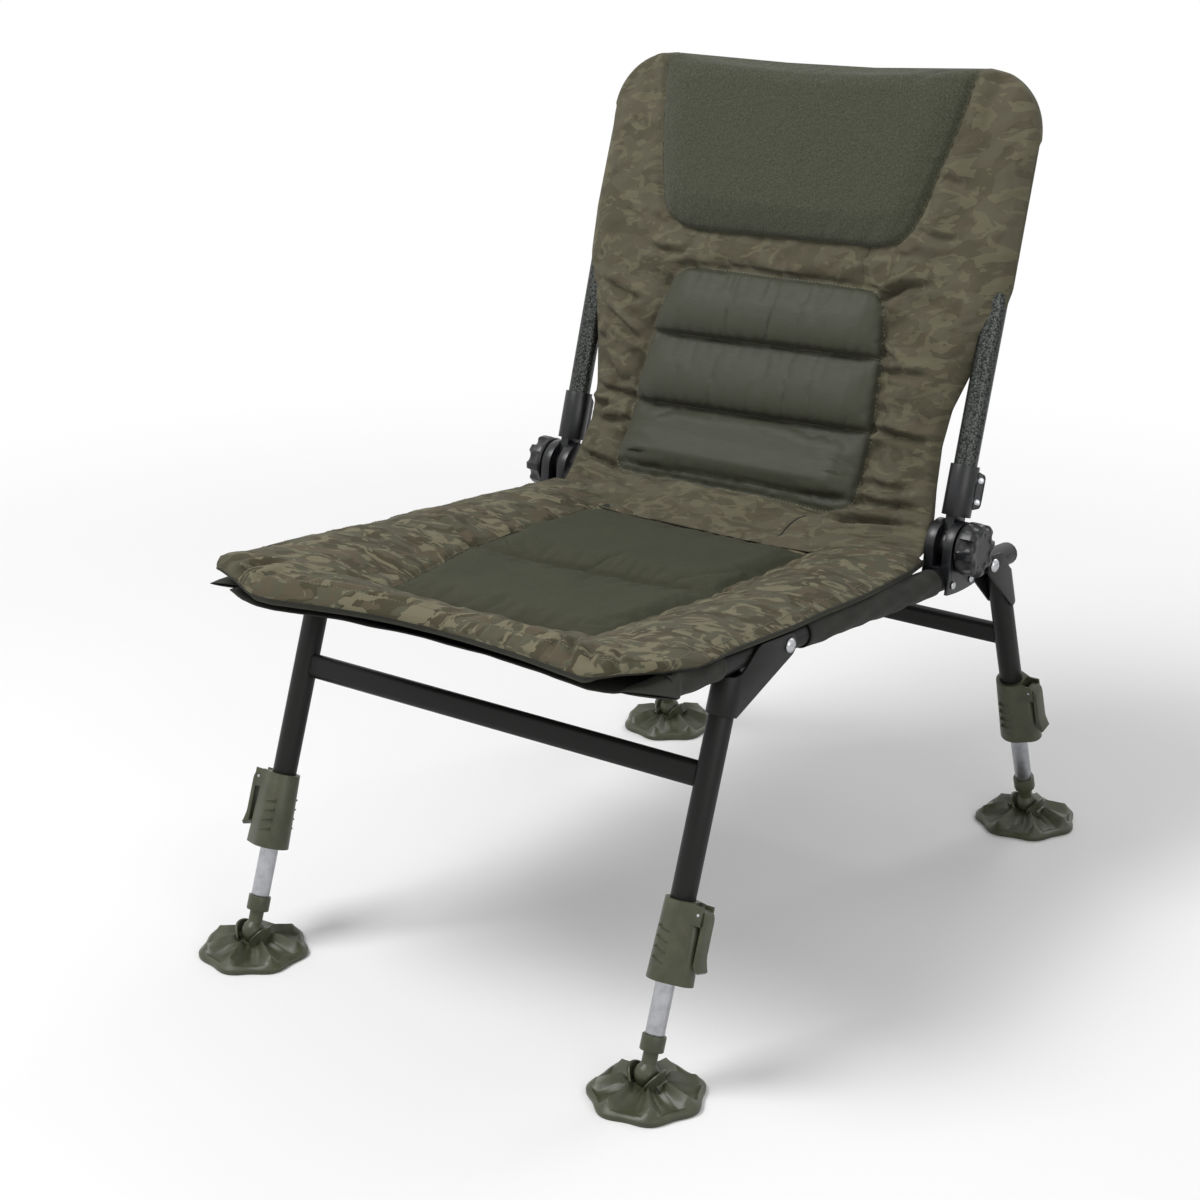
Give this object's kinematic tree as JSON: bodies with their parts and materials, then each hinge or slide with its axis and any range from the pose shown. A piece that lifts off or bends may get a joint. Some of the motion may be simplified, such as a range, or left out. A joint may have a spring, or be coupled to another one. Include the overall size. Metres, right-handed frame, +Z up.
{
  "type": "folding carp fishing chair",
  "caption": "Low folding fishing chair: padded seat and back on a tube frame, recliner hinges with knobs, folding legs with telescopic ends and tilting mud feet.",
  "frame": {"origin": "middle of the chair on the ground, under the centre of its bounding box", "axes": "+X to the side of the chair, +Y towards its back, +Z up; the sitter faces -Y"},
  "size_m": [0.618, 0.8732, 0.8594],
  "materials": {
    "frame_paint": "dark grey-green fine-textured powder paint",
    "back_paint": "silver-black hammertone paint",
    "black_plastic": "black moulded plastic, satin",
    "zinc_steel": "bright zinc plate",
    "bare_aluminium": "drawn, satin",
    "olive_plastic": "olive-green moulded plastic",
    "camo_fabric": "padded camouflage cloth, brown and olive",
    "dark_fabric": "dark olive woven cloth"
  },
  "bodies": {
    "seat": {"seat_pad": "camo_fabric", "seat_cloth": "dark_fabric", "cover_fold": "dark_fabric", "left_seat_rail": "frame_paint", "left_rail_cap": "black_plastic", "left_hinge_base": "black_plastic", "left_hinge_pin": "zinc_steel", "right_seat_rail": "frame_paint", "right_rail_cap": "black_plastic", "right_hinge_base": "black_plastic", "right_hinge_pin": "zinc_steel", "front_left_pivot_bolt": "zinc_steel", "front_right_pivot_bolt": "zinc_steel", "rear_left_pivot_bolt": "zinc_steel", "rear_right_pivot_bolt": "zinc_steel"},
    "back": {"back_frame": "back_paint", "back_cover": "camo_fabric", "left_hinge_arm": "black_plastic", "right_hinge_arm": "black_plastic"},
    "left_knob": {"left_hinge_knob": "black_plastic"},
    "right_knob": {"right_hinge_knob": "black_plastic"},
    "front_legs": {"front_crossbar": "frame_paint", "front_left_leg_tube": "frame_paint", "front_left_leg_bracket": "frame_paint", "front_left_lock_collar": "olive_plastic", "front_left_lever_pin": "zinc_steel", "front_right_leg_tube": "frame_paint", "front_right_leg_bracket": "frame_paint", "front_right_lock_collar": "olive_plastic", "front_right_lever_pin": "zinc_steel"},
    "rear_legs": {"rear_crossbar": "frame_paint", "rear_left_leg_tube": "frame_paint", "rear_left_leg_bracket": "frame_paint", "rear_left_lock_collar": "olive_plastic", "rear_left_lever_pin": "zinc_steel", "rear_right_leg_tube": "frame_paint", "rear_right_leg_bracket": "frame_paint", "rear_right_lock_collar": "olive_plastic", "rear_right_lever_pin": "zinc_steel"},
    "front_left_lever": {"front_left_lock_lever": "olive_plastic"},
    "front_left_extension": {"front_left_inner_leg": "bare_aluminium", "front_left_ball_end": "olive_plastic"},
    "front_left_foot": {"front_left_mud_foot": "olive_plastic", "front_left_cup_screw": "zinc_steel"},
    "front_right_lever": {"front_right_lock_lever": "olive_plastic"},
    "front_right_extension": {"front_right_inner_leg": "bare_aluminium", "front_right_ball_end": "olive_plastic"},
    "front_right_foot": {"front_right_mud_foot": "olive_plastic", "front_right_cup_screw": "zinc_steel"},
    "rear_left_lever": {"rear_left_lock_lever": "olive_plastic"},
    "rear_left_extension": {"rear_left_inner_leg": "bare_aluminium", "rear_left_ball_end": "olive_plastic"},
    "rear_left_foot": {"rear_left_mud_foot": "olive_plastic", "rear_left_cup_screw": "zinc_steel"},
    "rear_right_lever": {"rear_right_lock_lever": "olive_plastic"},
    "rear_right_extension": {"rear_right_inner_leg": "bare_aluminium", "rear_right_ball_end": "olive_plastic"},
    "rear_right_foot": {"rear_right_mud_foot": "olive_plastic", "rear_right_cup_screw": "zinc_steel"}
  },
  "joints": [
    {"name": "back_recline", "type": "hinge", "parent": "seat", "child": "back", "pos_m": [0, 0.17068, 0.39588], "axis": [1, 0, 0], "range_deg": [-60, 95], "deforming": ["cover_fold"]},
    {"name": "left_knob_turn", "type": "hinge", "parent": "seat", "child": "left_knob", "pos_m": [-0.303, 0.17068, 0.39588], "axis": [-1, 0, 0], "continuous": true},
    {"name": "right_knob_turn", "type": "hinge", "parent": "seat", "child": "right_knob", "pos_m": [0.303, 0.17068, 0.39588], "axis": [1, 0, 0], "continuous": true},
    {"name": "front_leg_fold", "type": "hinge", "parent": "seat", "child": "front_legs", "pos_m": [0, -0.167, 0.391], "axis": [1, 0, 0], "range_deg": [0, 100]},
    {"name": "rear_leg_fold", "type": "hinge", "parent": "seat", "child": "rear_legs", "pos_m": [0, 0.24247, 0.35554], "axis": [1, 0, 0], "range_deg": [-105, 0]},
    {"name": "front_left_lever_open", "type": "hinge", "parent": "front_legs", "child": "front_left_lever", "pos_m": [-0.2775, -0.3255, 0.17406], "axis": [0, 0.9379, -0.3469], "range_deg": [0, 100]},
    {"name": "front_right_lever_open", "type": "hinge", "parent": "front_legs", "child": "front_right_lever", "pos_m": [0.2775, -0.3255, 0.17406], "axis": [0, -0.9379, 0.3469], "range_deg": [0, 100]},
    {"name": "rear_left_lever_open", "type": "hinge", "parent": "rear_legs", "child": "rear_left_lever", "pos_m": [-0.2775, 0.3281, 0.1877], "axis": [0, 0.9516, 0.3074], "range_deg": [0, 100]},
    {"name": "rear_right_lever_open", "type": "hinge", "parent": "rear_legs", "child": "rear_right_lever", "pos_m": [0.2775, 0.3281, 0.1877], "axis": [0, -0.9516, -0.3074], "range_deg": [0, 100]},
    {"name": "front_left_leg_slide", "type": "slide", "parent": "front_legs", "child": "front_left_extension", "axis": [0, 0.3469, 0.9379], "range_m": [-0.12, 0.042]},
    {"name": "front_right_leg_slide", "type": "slide", "parent": "front_legs", "child": "front_right_extension", "axis": [0, 0.3469, 0.9379], "range_m": [-0.12, 0.042]},
    {"name": "rear_left_leg_slide", "type": "slide", "parent": "rear_legs", "child": "rear_left_extension", "axis": [0, 0.3074, -0.9516], "range_m": [-0.042, 0.11]},
    {"name": "rear_right_leg_slide", "type": "slide", "parent": "rear_legs", "child": "rear_right_extension", "axis": [0, 0.3074, -0.9516], "range_m": [-0.042, 0.11]},
    {"name": "front_left_foot_tilt", "type": "hinge", "parent": "front_left_extension", "child": "front_left_foot", "pos_m": [-0.252, -0.381, 0.024], "axis": [1, 0, 0], "range_deg": [-30, 30]},
    {"name": "front_right_foot_tilt", "type": "hinge", "parent": "front_right_extension", "child": "front_right_foot", "pos_m": [0.252, -0.381, 0.024], "axis": [1, 0, 0], "range_deg": [-30, 30]},
    {"name": "rear_left_foot_tilt", "type": "hinge", "parent": "rear_left_extension", "child": "rear_left_foot", "pos_m": [-0.252, 0.381, 0.024], "axis": [1, 0, 0], "range_deg": [-30, 30]},
    {"name": "rear_right_foot_tilt", "type": "hinge", "parent": "rear_right_extension", "child": "rear_right_foot", "pos_m": [0.252, 0.381, 0.024], "axis": [1, 0, 0], "range_deg": [-30, 30]}
  ]
}
